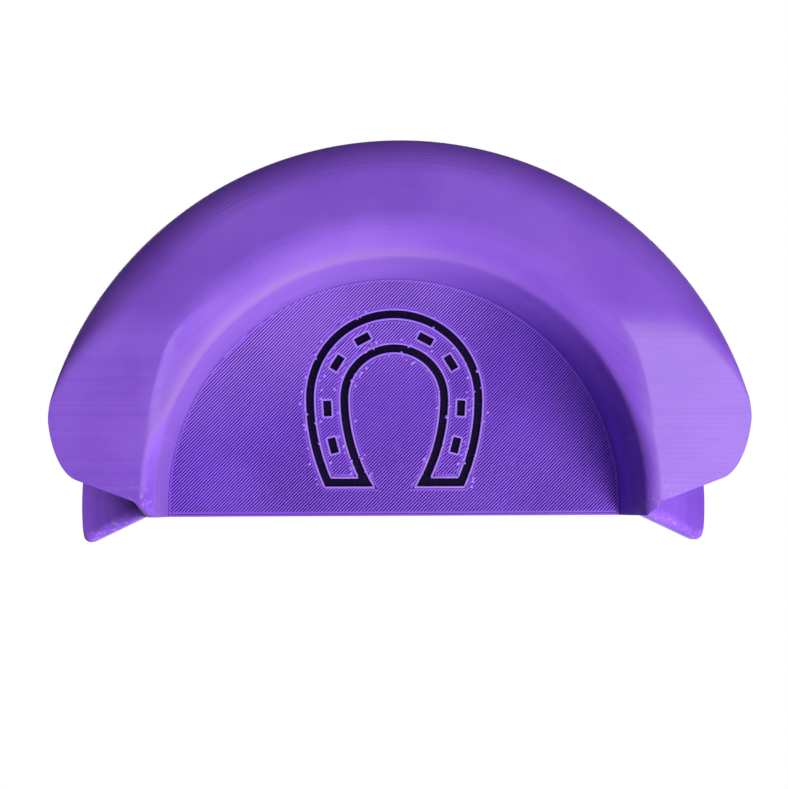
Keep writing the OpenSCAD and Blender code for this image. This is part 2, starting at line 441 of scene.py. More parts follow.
# Floor and surroundings
FLOOR_GREY = (0.80, 0.80, 0.80, 1)
FLOOR_PALE = (0.84, 0.84, 0.84, 1)
FLOOR_SCALE = 0.4
FLOOR_WHITE_LEAST = 0.86
FLOOR_WHITE_FADE = (60.0, 260.0)
WHITE = (1, 1, 1, 1)
DIM_SKY = (0.02, 0.02, 0.021, 1)


def facet_share(graph, place):
    """1 on the end facets and 0 elsewhere, with an uneven border."""
    _, along, up = graph.axes(place)
    uneven = graph.speckle(place, FACET_UNEVEN_SCALE, 3.0, FACET_UNEVEN_CRISPNESS) - 0.5
    behind = facet_out(up) + along + FACET_UNEVEN * uneven
    return graph.ramped(behind, FACET_EDGE, 0.0)


def sheen_colour(graph, place, colour, clouds, on_facet):
    """Painted sheen: pales the inner edge and the hollow on the left, and the facet on the right."""
    across, along, _ = graph.axes(place)
    reach = graph.length(graph.stretched(place, (1, 0, 1)))
    left = graph.ramped(across, *SHEEN_LEFT)
    inner = graph.ramped(reach, *HOLLOW_SKIN)
    broad = graph.ramped(reach, RIDGE_R + RIDGE_BROAD, RIDGE_R)
    narrow = graph.ramped(reach, RIDGE_R + RIDGE_NARROW, RIDGE_R)
    ridge_sheen = RIDGE_BROAD_SHARE * broad + (1 - RIDGE_BROAD_SHARE) * narrow
    ridge_sheen = ridge_sheen * graph.ramped(along, *RIDGE_OUT) * (1 - RIDGE_CLOUDS + RIDGE_CLOUDS * clouds)
    colour = graph.mixed(HOLLOW_SHEEN * inner * left, colour, PURPLE_SHEEN)
    colour = graph.mixed(ridge_sheen * left, colour, PURPLE_SHEEN)
    return graph.mixed(FACET_SHEEN * on_facet * (1.0 - left), colour, PURPLE_SHEEN)


def crumb_share(graph, place):
    """Where crumbs of plastic lie on the lip and the saddle."""
    across, along, up = graph.axes(place)
    aside = across.absolute()
    root = graph.ramped(aside, *ROOT_START) * graph.ramped(aside, *ROOT_END)
    near = graph.ramped(along, *CRUMB_OUT).maximum(root) * graph.ramped(aside, *CRUMB_ASIDE)
    low = graph.ramped(up, *CRUMB_UP) * near
    wing_edge = (aside - WING_ROOT.x) * (WING_WAY.y / WING_WAY.x) + WING_ROOT.y
    under = graph.ramped(up - wing_edge, *WING_CRUMBS) * graph.ramped(aside, *WING_START)
    specks = graph.ramped(graph.speckle(place, CRUMB_SCALE, 3.0, CRUMB_CRISPNESS), *CRUMB_RANGE)
    return specks * low.maximum(under)


def print_finish(
    name,
    layer_bump=LAYER_BUMP,
    skin_side=None,
    sheen_and_crumbs=False,
    gloss=0.0,
    roughness=PRINT_ROUGHNESS,
    specular=PRINT_SPECULAR,
):
    """Purple filament in layers parallel to the wall.

    A skin side adds slanting lines to one flat side. With sheen_and_crumbs a piece gets painted sheen in
    pale places, and crumbs of plastic.
    Gloss makes the facets of such a piece shine.
    """
    material, graph, place = new_finish(name)
    across, along, up = graph.axes(place)
    layer = (along / LAYER_H).floor()
    each_layer = graph.node("ShaderNodeTexWhiteNoise", {"noise_dimensions": "1D"}, {"W": layer})
    streaks = graph.speckle(graph.stretched(place, STREAK_STRETCH), 1.0, 3.0)
    clouds = graph.speckle(place, CLOUD_SCALE, 3.0)
    grain = graph.speckle(place, GRAIN_SCALE, 2.0, GRAIN_CRISPNESS)

    tone = LAYER_TONE * each_layer + STREAK_TONE * streaks + CLOUD_TONE * clouds
    colour = graph.mixed(graph.ramped(tone, *PALE_TONES), PURPLE, PURPLE_PALE)
    colour = graph.mixed(graph.ramped(tone, *DEEP_TONES), colour, PURPLE_DEEP)

    patches = graph.ramped(graph.speckle(place, PATCH_SCALE, 2.0), *PATCH_RANGE)
    lines = waves(along, LAYER_H) * (PATCH_LEAST + (1 - PATCH_LEAST) * patches)
    normal = graph.bump(layer_bump, lines + LAYER_SHIFT * each_layer)
    coat = 0.0
    if sheen_and_crumbs:
        on_facet = facet_share(graph, place)
        crumbs = crumb_share(graph, place)
        # Painted sheen: paler inner edge and hollow on the left, paler facet on the right
        colour = sheen_colour(graph, place, colour, clouds, on_facet)
        colour = graph.mixed(CRUMB_SHARE * crumbs, colour, PURPLE_WHITE)
        normal = graph.bump(CRUMB_BUMP, crumbs, normal)
        if gloss:
            coat = gloss * on_facet
    if skin_side is not None:
        deep, shallow = SLANT_DEPTHS
        on_side = graph.ramped(along, skin_side - deep, skin_side - shallow)
        normal = graph.bump(SLANT_BUMP, waves(across + up, SLANT_PERIOD) * on_side, normal)
    graph.surface({
        "Base Color": colour,
        "Roughness": roughness - ROUGHNESS_DROP + STREAK_ROUGHNESS * streaks + GRAIN_ROUGHNESS * grain,
        "Normal": graph.bump(GRAIN_BUMP, grain, normal),
        "Specular IOR Level": specular,
        "Coat Weight": coat,
        "Coat Roughness": COAT_ROUGHNESS,
    })
    return material


def skin_finish(name):
    """Slanting top lines of filament, with painted highlight along their crowns and painted shade in the
    valleys between them.
    """
    material, graph, place = new_finish(name)
    across, _, up = graph.axes(place)
    swing = ((up - across) * (math.tau / SLANT_PERIOD)).cosine()
    patches = graph.ramped(graph.speckle(place, SKIN_PATCH_SCALE, 2.0), *SKIN_PATCH_RANGE)
    grain = graph.speckle(place, SKIN_GRAIN_SCALE, 3.0, GRAIN_CRISPNESS)
    contrast = SKIN_PATCH_LEAST + (1 - SKIN_PATCH_LEAST) * patches
    share = 0.5 + 0.5 * swing * contrast + SKIN_GRAIN * (grain - 0.5)
    # Painted glint: the crowns grow paler towards the upper left, where the light catches them
    lit_crown = graph.mixed(graph.ramped(up - GLINT_LEAN * across, *GLINT_RANGE), SKIN_CROWN_HIGHLIGHT, SKIN_GLINT)
    graph.surface({
        # Painted shade in the valleys, painted highlight on the crowns
        "Base Color": graph.mixed(share, SKIN_VALLEY_SHADE, lit_crown),
        "Roughness": SKIN_ROUGHNESS - CROWN_SMOOTHING * share,
        "Normal": graph.bump(SKIN_GRAIN_BUMP, grain),
        "Specular IOR Level": SKIN_SPECULAR,
    })
    return material


def shaded_finish(name, dark, pale):
    """A dull speckled surface between two colours: painted shade in the gaps and engraved lines, painted
    highlight on the rim lines beside them and on the drops.
    """
    material, graph, place = new_finish(name)
    specks = graph.speckle(place, SPECK_SCALE, 3.0)
    graph.surface({
        "Base Color": graph.mixed(graph.ramped(specks, *SPECK_RANGE), dark, pale),
        "Roughness": SPECK_ROUGHNESS + SPECK_ROUGHNESS_SPREAD * specks,
        "Normal": graph.bump(SPECK_BUMP, specks),
        "Specular IOR Level": SPECK_SPECULAR,
    })
    return material


def screw_finish(name):
    """Zinc-plated steel with turning marks and a few dull spots."""
    material, graph, place = new_finish(name)
    dull = graph.speckle(place, DULL_SCALE, 4.0)
    turning = graph.speckle(graph.stretched(place, TURNING_STRETCH), 1.0, 2.0)
    graph.surface({
        "Base Color": graph.mixed(graph.ramped(dull, *DULL_RANGE), ZINC, ZINC_DULL),
        "Roughness": ZINC_ROUGHNESS + DULL_ROUGHNESS * dull + TURNING_ROUGHNESS * turning,
        "Metallic": 1.0,
        "Normal": graph.bump(TURNING_BUMP, turning),
    })
    return material


def seen_directly(graph):
    """1 for rays from the camera, from glossy surfaces and through clear ones."""
    kinds = ("Is Camera Ray", "Is Glossy Ray", "Is Transmission Ray")
    camera, glossy, clear = [graph.node("ShaderNodeLightPath", out=kind) for kind in kinds]
    return camera.maximum(glossy).maximum(clear)


def floor_finish(name):
    """Pale floor that fades to white away from the rack and keeps its shadow near it."""
    material, graph, place = new_finish(name)
    colour = graph.mixed(graph.speckle(place, FLOOR_SCALE, 2.0), FLOOR_GREY, FLOOR_PALE)
    matt = graph.node("ShaderNodeBsdfDiffuse", None, {"Color": colour})
    white = graph.node("ShaderNodeEmission", None, {"Color": WHITE, "Strength": 1.0})
    fade = graph.ramped(graph.length(place), *FLOOR_WHITE_FADE)
    share = seen_directly(graph) * (FLOOR_WHITE_LEAST + (1 - FLOOR_WHITE_LEAST) * fade)
    shader = graph.node("ShaderNodeMixShader", None, {0: share, 1: matt, 2: white})
    graph.node("ShaderNodeOutputMaterial", None, {"Surface": shader})
    return material


def finish_mesh(name, bm, finishes, body, nodes=()):
    """Turns a bmesh in millimetres of the wall's view into a piece that rides on a body."""
    for vert in bm.verts:
        vert.co = at(*vert.co)
    bmesh.ops.recalc_face_normals(bm, faces=bm.faces)
    for face in bm.faces:
        face.smooth = True
    for edge in bm.edges:
        edge.smooth = len(edge.link_faces) == 2 and edge.calc_face_angle() < SHARP_ANGLE
    mesh = bpy.data.meshes.new(name)
    bm.to_mesh(mesh)
    bm.free()
    for finish in finishes:
        mesh.materials.append(finish)
    piece = bpy.data.objects.new(name, mesh)
    bpy.context.scene.collection.objects.link(piece)
    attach(piece, body)
    if nodes:
        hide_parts(*nodes)
    return piece


def arc(centre, r, start, end, steps=ARC_STEPS):
    """Points (radius, out) on an arc, with angles in degrees counted from straight out towards the rim."""
    angles = [math.radians(start + (end - start) * i / steps) for i in range(steps + 1)]
    return [(centre[0] + r * math.sin(a), centre[1] + r * math.cos(a)) for a in angles]


def ring(bm, points, out):
    return [bm.verts.new((x, up, out)) for x, up in points]


def wall(bm, lower, upper, closed=True):
    """Quads between two rings of as many points."""
    count = len(lower)
    faces = []
    for i in range(count if closed else count - 1):
        j = (i + 1) % count
        faces.append(bm.faces.new((lower[i], lower[j], upper[j], upper[i])))
    return faces


def fill(bm, *rings):
    """Closes a flat region inside the first ring and outside the others."""
    edges = []
    for points in rings:
        for i, vert in enumerate(points):
            following = points[(i + 1) % len(points)]
            edges.append(bm.edges.get((vert, following)) or bm.edges.new((vert, following)))
    made = bmesh.ops.triangle_fill(bm, use_beauty=True, edges=edges)
    return [face for face in made["geom"] if isinstance(face, bmesh.types.BMFace)]


def half_sweep(bm, profile, low_angle, out_at):
    """Sweeps a closed section round the rack's axis, each point from its own low angle to the mirrored one.

    The distance along the circle from the nearer end helps to set how far out each vertex lies.
    """
    rows = []
    for r, out in profile:
        low = low_angle(r, out)
        row = []
        for share in SWEEP_SHARES:
            angle = low + (math.pi - 2 * low) * share
            rise = r * (math.pi - 2 * low) * min(share, 1 - share)
            x, up = r * math.cos(angle), r * math.sin(angle)
            row.append(bm.verts.new((x, up, out_at(r, up, out, rise))))
        rows.append(row)
    for i, row in enumerate(rows):
        wall(bm, row, rows[(i + 1) % len(rows)], closed=False)
    return rows


def blended(centre, r, next_r, angle):
    """Centre of a rounding that goes on from another one at an angle counted from straight out."""
    a = math.radians(angle)
    return (centre[0] + (r - next_r) * math.sin(a), centre[1] + (r - next_r) * math.cos(a))


# Lip section, as in the solid: roundings at the front, the rim, the back and the inner edge
FRONT_CENTRE = (
    LIP_R - LIP_RIM_R - (LIP_FRONT_R - LIP_RIM_R) * math.sin(math.radians(LIP_BLEND_ANGLE)),
    RACK_DEPTH - LIP_FRONT_R,
)
RIM_CENTRE = blended(FRONT_CENTRE, LIP_FRONT_R, LIP_RIM_R, LIP_BLEND_ANGLE)
BACK_CENTRE = blended(RIM_CENTRE, LIP_RIM_R, LIP_BACK_R, LIP_BACK_BLEND_ANGLE)
DRAFT = math.radians(LIP_BACK_DRAFT)
RIM_BACK = (BACK_CENTRE[0] + LIP_BACK_R * math.sin(DRAFT), BACK_CENTRE[1] - LIP_BACK_R * math.cos(DRAFT))
SEAT_OUT = RIM_BACK[1] - (RIM_BACK[0] - DRUM_R) * math.tan(DRAFT)
EDGE_BLEND = math.radians(LIP_EDGE_BLEND_ANGLE)
EDGE_CENTRE = (
    HOLLOW_R + LIP_EDGE_R,
    RACK_DEPTH - LIP_INNER_ROUND + (LIP_INNER_ROUND - LIP_EDGE_R) * math.cos(EDGE_BLEND),
)
INNER_CENTRE = (
    EDGE_CENTRE[0] + (LIP_INNER_ROUND - LIP_EDGE_R) * math.sin(EDGE_BLEND),
    RACK_DEPTH - LIP_INNER_ROUND,
)
FACET_LEAN = math.radians(FACET_ANGLE)


def round_out(r, centre, radius):
    """How far a rounding stands out from its centre at each distance from the axis."""
    return np.sqrt(np.maximum(radius ** 2 - (r - centre[0]) ** 2, 0))


def lip_front(r):
    """The lip's front face without facets: inner edge, broad rounding, crest, broad rounding and rim."""
    inner_end = EDGE_CENTRE[0] - LIP_EDGE_R * math.sin(EDGE_BLEND)
    rim_start = RIM_CENTRE[0] + LIP_RIM_R * math.sin(math.radians(LIP_BLEND_ANGLE))
    zones = [r < inner_end, r < INNER_CENTRE[0], r < FRONT_CENTRE[0], r < rim_start]
    outs = [
        EDGE_CENTRE[1] + round_out(r, EDGE_CENTRE, LIP_EDGE_R),
        INNER_CENTRE[1] + round_out(r, INNER_CENTRE, LIP_INNER_ROUND),
        np.full_like(r, RACK_DEPTH),
        FRONT_CENTRE[1] + round_out(r, FRONT_CENTRE, LIP_FRONT_R),
    ]
    return np.select(zones, outs, RIM_CENTRE[1] + round_out(r, RIM_CENTRE, LIP_RIM_R))


def lip_back(r):
    """The lip's back face: seat, draft, rounding and rim."""
    rim_start = RIM_CENTRE[0] + LIP_RIM_R * math.sin(math.radians(LIP_BACK_BLEND_ANGLE))
    zones = [r < DRUM_R, r < RIM_BACK[0], r < rim_start]
    outs = [
        np.full_like(r, SEAT_OUT),
        SEAT_OUT + (r - DRUM_R) * math.tan(DRAFT),
        BACK_CENTRE[1] - round_out(r, BACK_CENTRE, LIP_BACK_R),
    ]
    return np.select(zones, outs, RIM_CENTRE[1] - round_out(r, RIM_CENTRE, LIP_RIM_R))


def facet_out(up):
    return RACK_DEPTH - (FACET_START - up) * math.tan(FACET_LEAN)


def wall_depth(r, out):
    """Distance behind the hollow's wall and the lip's inner edge."""
    inward, outward = EDGE_CENTRE[0] - r, out - EDGE_CENTRE[1]
    tight = LIP_EDGE_R - np.hypot(inward, outward)
    broad = LIP_INNER_ROUND - np.hypot(INNER_CENTRE[0] - r, out - INNER_CENTRE[1])
    curved = np.where(inward > outward * math.tan(EDGE_BLEND), tight, broad)
    return np.where(outward < 0, r - HOLLOW_R, curved)


def corner_r(r):
    """Rounding between the inner edge and the facet, which fades out before the crest."""
    share = np.clip((r - EDGE_CENTRE[0]) / (INNER_CENTRE[0] - EDGE_CENTRE[0]), 0, 1)
    return CORNER_R * (1 - share ** 2 * (3 - 2 * share))


def trimmed(r, up, out):
    """Front of the lip or drum after the facets, with soft facet edges and a rounded inner corner."""
    plane = facet_out(up)
    corner = corner_r(r)
    share = np.clip(0.5 + (plane - out) / (2 * FACET_SOFTENING), 0, 1)
    soft = plane + (out - plane) * share - FACET_SOFTENING * share * (1 - share)
    low = np.minimum(soft, plane - corner / math.cos(FACET_LEAN))
    high = soft.copy()
    for _ in range(CORNER_HALVINGS):
        middle = (low + high) / 2
        from_wall = np.maximum(corner - wall_depth(r, middle), 0)
        from_plane = np.maximum(corner - (plane - middle) * math.cos(FACET_LEAN), 0)
        inside = np.hypot(from_wall, from_plane) <= corner
        low = np.where(inside, middle, low)
        high = np.where(inside, high, middle)
    return low


def facet_low_up(r):
    """Height at which the rounded facet meets the lip's back."""
    back = lip_back(r)
    corner = corner_r(r)
    from_wall = np.maximum(corner - wall_depth(r, back), 0)
    depth = corner - np.sqrt(corner ** 2 - np.minimum(from_wall, corner) ** 2)
    return FACET_START - (RACK_DEPTH - back - depth / math.cos(FACET_LEAN)) / math.tan(FACET_LEAN)


def front_lip():
    """The half-round lip with its two end facets."""
    swing = np.linspace(0, math.pi, LIP_COLUMNS + 1)
    r = (HOLLOW_R + LIP_R) / 2 - (LIP_R - HOLLOW_R) / 2 * np.cos(swing)
    low = np.arcsin(facet_low_up(r) / r)
    share = np.linspace(0, 1, SWEEP_STEPS + 1)
    angle = low[:, None] + (math.pi - 2 * low)[:, None] * share
    ring_r = np.repeat(r[:, None], SWEEP_STEPS + 1, 1)
    x, up = ring_r * np.cos(angle), ring_r * np.sin(angle)
    back = lip_back(ring_r)
    front = np.maximum(trimmed(ring_r, up, lip_front(ring_r)), back)
    bm = bmesh.new()
    grids = []
    for out in (front, back):
        points = np.dstack((x, up, out))
        grids.append([[bm.verts.new(p) for p in row] for row in points])
    for rows in grids:
        for row, following in zip(rows, rows[1:]):
            wall(bm, row, following, closed=False)
    wall(bm, grids[0][0], grids[1][0], closed=False)
    bmesh.ops.remove_doubles(bm, verts=bm.verts, dist=WELD)
    return finish_mesh("front_lip_skin", bm, [lip_print], "rack", ["front_lip"])


# Lower edge of one wing, as in the solid
WING_ROOT = Vector((DRUM_R + WING_ROOT_GAP, UNDERSIDE))
WING_TIP_FAR = FLANGE_R - WING_TIP_R
WING_TIP_UP = WING_TIP_R - WING_DROP
WING_TIP = Vector((math.sqrt(WING_TIP_FAR ** 2 - WING_TIP_UP ** 2), WING_TIP_UP))
WING_RUN = WING_TIP - WING_ROOT
WING_SLOPE = math.atan2(WING_RUN.y, WING_RUN.x) - math.asin(WING_TIP_R / WING_RUN.length)
WING_WAY = Vector((math.cos(WING_SLOPE), math.sin(WING_SLOPE)))
WING_TOUCH = WING_TIP + WING_TIP_R * Vector((WING_WAY.y, -WING_WAY.x))


# Bevel at the lower front corners of the drum, as in the solid
FLARE_CENTRE = (DRUM_R + FLARE_R, WALL_PLATE_T + FLANGE_EDGE + FLARE_R)
FACET_END_UP = FACET_START - (RACK_DEPTH - SEAT_OUT) / math.tan(FACET_LEAN)


def drum_low_up(r, out):
    """Lower end of the drum at a distance from the axis and from the wall."""
    if r <= HOLLOW_R + CORNER_WALL or out <= FLARE_CENTRE[1]:
        return UNDERSIDE
    across = (r - HOLLOW_R - CORNER_WALL) / (DRUM_R - HOLLOW_R - CORNER_WALL)
    return UNDERSIDE + (FACET_END_UP - UNDERSIDE) * across


def saddle_low_angle(r, out):
    """Where a circle of this radius meets the underside, the wing's slope or its rounded tip."""
    if r <= WING_ROOT.length:
        return math.asin(drum_low_up(r, out) / r)
    if r <= WING_TOUCH.length:
        lead = WING_ROOT.dot(WING_WAY)
        run = math.sqrt(lead ** 2 + r ** 2 - WING_ROOT.length_squared) - lead
        meet = WING_ROOT + run * WING_WAY
        return math.atan2(meet.y, meet.x)
    cosine = (r ** 2 + WING_TIP_FAR ** 2 - WING_TIP_R ** 2) / (2 * r * WING_TIP_FAR)
    return math.atan2(WING_TIP.y, WING_TIP.x) - math.acos(min(1.0, cosine))


def saddle_out(r, up, out, rise):
    """Lowers the drum's front end to the facets, and rounds the lower edge of the flare."""
    if out >= SEAT_OUT:
        at_r = np.array([r])
        return min(SEAT_OUT, float(trimmed(at_r, np.array([up]), lip_front(at_r))[0]))
    edge_r = min(WING_EDGE_R, WING_EDGE_SHARE * (out - WALL_PLATE_T))
    if r < DRUM_R or rise >= edge_r:
        return out
    return out - edge_r + math.sqrt(edge_r ** 2 - (edge_r - rise) ** 2)


def saddle():
    """The half drum with its flared foot and the two wings."""
    foot_out = WALL_PLATE_T + FLANGE_EDGE
    foot_run = FLANGE_R - FLARE_CENTRE[0]
    corner = np.linspace(0, math.pi / 2, CORNER_COLUMNS + 1)
    seat = [(HOLLOW_R + CORNER_R * (1 - math.cos(a)), SEAT_OUT) for a in corner]
    seat = sorted(seat + [(HOLLOW_R + CORNER_WALL, SEAT_OUT), (DRUM_R, SEAT_OUT)])
    front = arc(FLARE_CENTRE, FLARE_R, -90, -180)
    front += [
        (FLARE_CENTRE[0] + foot_run * i / WING_TIP_COLUMNS, foot_out)
        for i in range(1, WING_TIP_COLUMNS + 1)
    ]
    back = [(r, WALL_PLATE_T) for r, _ in reversed(front)] + [(HOLLOW_R, WALL_PLATE_T)]
    bm = bmesh.new()
    rows = half_sweep(bm, seat + front + back, saddle_low_angle, saddle_out)
    seat_rows = rows[:len(seat)]
    front_rows = rows[len(seat):len(seat) + len(front)]
    back_rows = rows[len(seat) + len(front):-1][::-1]
    bevel_start = seat.index((HOLLOW_R + CORNER_WALL, SEAT_OUT))
    for end in (0, -1):
        level = [row[end] for row in seat_rows[:bevel_start + 1]]
        bm.faces.new([rows[-1][end], back_rows[0][end], front_rows[0][end]] + level[::-1])
        bevel = [row[end] for row in seat_rows[bevel_start:]]
        bm.faces.new(bevel + [front_rows[0][end]])
        fronts = [row[end] for row in front_rows]
        backs = [row[end] for row in back_rows]
        wall(bm, fronts, backs, closed=False)
    return finish_mesh("saddle_skin", bm, [saddle_print], "rack", ["saddle"])


def turned(centre, r, start, end, steps=ARC_STEPS):
    """Points (x, up) on an arc, with angles in degrees counted from x towards up."""
    angles = [math.radians(start + (end - start) * i / steps) for i in range(steps + 1)]
    return [(centre[0] + r * math.cos(a), centre[1] + r * math.sin(a)) for a in angles]


def shoe_side(toe_r, leg_r, heel):
    """One edge of the horseshoe from its right heel over the toe to its left heel."""
    lean = math.degrees(math.asin(heel / leg_r))
    right = turned((toe_r - leg_r, SHOE_UP), leg_r, -lean, 0)
    toe = turned((0, SHOE_UP), toe_r, 0, 180, 2 * ARC_STEPS)
    left = [(-x, up) for x, up in reversed(right)]
    return right[:-1] + toe + left[1:]


def shoe_loop(grow):
    """Closed outline of the horseshoe's web, grown or shrunk."""
    heel = SHOE_LEG + grow
    outer = shoe_side(SHOE_R + grow, SHOE_LEG_R + grow, heel)
    inner = shoe_side(SHOE_IN_R - grow, SHOE_IN_LEG_R - grow, heel)
    return outer + inner[::-1]


def nail_places():
    """Middle and turn of each nail slot."""
    places = []
    for side in (1, -1):
        for angle in NAIL_TOE_ANGLES:
            a = math.radians(angle)
            places.append((side * SHOE_MID_R * math.cos(a), SHOE_UP + SHOE_MID_R * math.sin(a), side * a))
        for share in NAIL_LEG_SHARES:
            a = -math.asin(share * SHOE_LEG / SHOE_MID_LEG_R)
            x = SHOE_MID_R - SHOE_MID_LEG_R + SHOE_MID_LEG_R * math.cos(a)
            places.append((side * x, SHOE_UP + SHOE_MID_LEG_R * math.sin(a), side * a))
    return places


def nail_loop(place, grow):
    """Outline of a nail slot, its corners rounded by as much as it is grown."""
    x, up, turn = place
    points = []
    for quarter, (side_w, side_len) in enumerate(((1, 1), (-1, 1), (-1, -1), (1, -1))):
        corner = (side_w * GROOVE_W / 2, side_len * NAIL_LEN / 2)
        start = 90 * quarter
        points += turned(corner, grow, start, start + 90, NAIL_CORNER_STEPS) if grow else [corner]
    cosine, sine = math.cos(turn), math.sin(turn)
    return [(x + a * cosine - b * sine, up + a * sine + b * cosine) for a, b in points]


def shoe_distance(x, up):
    """Distance to the edge of the horseshoe's web, negative inside it."""

    def form(toe_r, leg_r, heel):
        side = leg_r - toe_r
        legs = np.maximum(np.hypot(np.abs(x) + side, y) - leg_r, -heel - y)
        return np.where(y >= 0, np.hypot(x, y) - toe_r, legs)

    y = up - SHOE_UP
    return np.maximum(form(SHOE_R, SHOE_LEG_R, SHOE_LEG), -form(SHOE_IN_R, SHOE_IN_LEG_R, 2 * SHOE_LEG))


def nail_distance(x, up, place):
    dx, dy = x - place[0], up - place[1]
    cosine, sine = math.cos(place[2]), math.sin(place[2])
    across = np.abs(dx * cosine + dy * sine) - GROOVE_W / 2
    along = np.abs(dy * cosine - dx * sine) - NAIL_LEN / 2
    return np.hypot(np.maximum(across, 0), np.maximum(along, 0)) + np.minimum(np.maximum(across, along), 0)


def half_disc(inset=0.0):
    """Outline of the face plate."""
    r = FACE_R - inset
    low = math.degrees(math.asin((UNDERSIDE + inset) / r))
    return turned((0, 0), r, low, 180 - low, 4 * ARC_STEPS)


def face_plate():
    """The plate under its printed skin, with grooves, nail slots and the pegs behind it."""
    top, floor, peg_end = FACE_OUT - BEAD_H, FACE_OUT - GROOVE_DEPTH, WALL_PLATE_T - PEG_LEN
    bm = bmesh.new()
    edge = ring(bm, half_disc(), top)
    back_edge = ring(bm, half_disc(), WALL_PLATE_T)
    border = ring(bm, half_disc(GROUND_INSET), top)
    wall(bm, back_edge, edge)
    wall(bm, edge, border)
    outside, inside = shoe_loop(GROOVE_W / 2), shoe_loop(-GROOVE_W / 2)
    outside_top, outside_floor = ring(bm, outside, top), ring(bm, outside, floor)
    inside_top, inside_floor = ring(bm, inside, top), ring(bm, inside, floor)
    grooves = wall(bm, outside_floor, outside_top)
    grooves += wall(bm, inside_floor, inside_top)
    grooves += wall(bm, outside_floor, inside_floor)
    nail_tops = []
    for place in nail_places():
        slot_top, slot_floor = ring(bm, nail_loop(place, 0), top), ring(bm, nail_loop(place, 0), floor)
        grooves += wall(bm, slot_floor, slot_top)
        grooves.append(bm.faces.new(slot_floor))
        nail_tops.append(slot_top)
    ground = fill(bm, border, outside_top)
    ground += fill(bm, inside_top, *nail_tops)
    peg_roots = []
    for angle in PEG_ANGLES:
        a = math.radians(angle)
        centre = (PEG_R * math.cos(a), PEG_R * math.sin(a))
        circle = turned(centre, PEG_D / 2, 0, 360, 2 * ARC_STEPS)[:-1]
        root, tip = ring(bm, circle, WALL_PLATE_T), ring(bm, circle, peg_end)
        wall(bm, tip, root)
        bm.faces.new(tip)
        peg_roots.append(root)
    fill(bm, back_edge, *peg_roots)
    # Painted shade in the grooves and nail slots, and on the ground between the beads
    for face in grooves:
        face.material_index = 1
    for face in ground:
        face.material_index = 2
    finishes = [face_print, groove_painted_shade, gap_painted_shade]
    return finish_mesh("face_plate_body", bm, finishes, "cover", ["face_plate"])


def bead_flatness(x, up):
    """From 0 where the beads stand apart to 1 where they are squeezed flat against each other."""
    place = Vector((x, up, 0))
    patches = noise.noise(place * FLAT_PATCH_SCALE + Vector(FLAT_PATCH_PLACE))
    tremble = noise.noise(place * FLAT_TREMBLE_SCALE + Vector((0, 0, FLAT_TREMBLE_PLACE)))
    return min(1.0, max(0.0, FLAT_MIDDLE + FLAT_PATCHES * patches + FLAT_TREMBLE * tremble))


def lay_bead(bm, points, finish, closed=False):
    """One printed line, rounded across its width."""
    line = np.array(points)
    if closed:
        ways = np.roll(line, -1, 0) - np.roll(line, 1, 0)
    else:
        ways = np.gradient(line, axis=0)
    ways /= np.linalg.norm(ways, axis=1)[:, None]
    sections = []
    for (x, up), (way_x, way_up) in zip(line, ways):
        flatness = bead_flatness(x, up) if finish == SLANT else 1.0
        half_w = BEAD_W / 2 * (BEAD_SLIM_SHARE + (1 - BEAD_SLIM_SHARE) * flatness)
        height = BEAD_H * (1 - BEAD_SQUEEZE_SHARE * flatness)
        section = []
        for share in BEAD_SHARES:
            side = share * half_w
            rise = height * (1 - share ** 2)
            out = FACE_OUT - BEAD_H - BEAD_SINK + rise
            section.append(bm.verts.new((x - side * way_up, up + side * way_x, out)))
        sections.append(section)
    for i in range(len(sections) if closed else len(sections) - 1):
        for face in wall(bm, sections[i], sections[(i + 1) % len(sections)]):
            face.material_index = finish
    if not closed:
        for end in (sections[0], sections[-1]):
            bm.faces.new(end).material_index = finish


def drop_blob(bm, x, up, r, finish):
    """A small stray drop of filament."""
    low = FACE_OUT - BEAD_H - BEAD_SINK
    rings = []
    for angle in DROP_ANGLES:
        a = math.radians(angle)
        circle = turned((x, up), r * math.cos(a), 0, 360, DROP_SIDES)[:-1]
        rings.append(ring(bm, circle, low + r * math.sin(a)))
    faces = [bm.faces.new(rings[0]), bm.faces.new(rings[-1])]
    for lower, upper in zip(rings, rings[1:]):
        faces += wall(bm, lower, upper)
    for face in faces:
        face.material_index = finish


def skin_runs():
    """Straight runs of the slanting top skin, clear of the engraving and of the bottom edge."""
    cuts = np.arange(-RUN_REACH, RUN_REACH, RUN_CUT)
    slope = math.sqrt(0.5)
    places = nail_places()
    half_count = int(RUN_REACH / BEAD_W)
    for k in range(-half_count, half_count):
        x = slope * (cuts - k * BEAD_W)
        up = slope * (cuts + k * BEAD_W)
        clear = np.minimum(FACE_R - SKIN_EDGE - np.hypot(x, up), up - UNDERSIDE - BOTTOM_BEADS * BEAD_W)
        clear = np.minimum(clear, np.abs(shoe_distance(x, up)) - GROOVE_W / 2 - GROOVE_BEADS * BEAD_W)
        for place in places:
            clear = np.minimum(clear, nail_distance(x, up, place) - NAIL_BEADS * BEAD_W)
        inside = np.flatnonzero(clear > -BEAD_LAP)
        if len(inside) < 2:
            continue
        for run in np.split(inside, np.flatnonzero(np.diff(inside) > 1) + 1):
            if len(run) < RUN_MIN_CUTS:
                continue
            start, end = cuts[run[0]], cuts[run[-1]]
            steps = max(2, int((end - start) / BEAD_STEP))
            along = np.linspace(start, end, steps + 1)
            ways = [Vector((s * SWAY_ALONG, k * SWAY_ASIDE, SWAY_PLACE)) for s in along]
            aside = k * BEAD_W + np.array([SWAY * noise.noise(way) for way in ways])
            yield np.column_stack((slope * (along - aside), slope * (along + aside)))


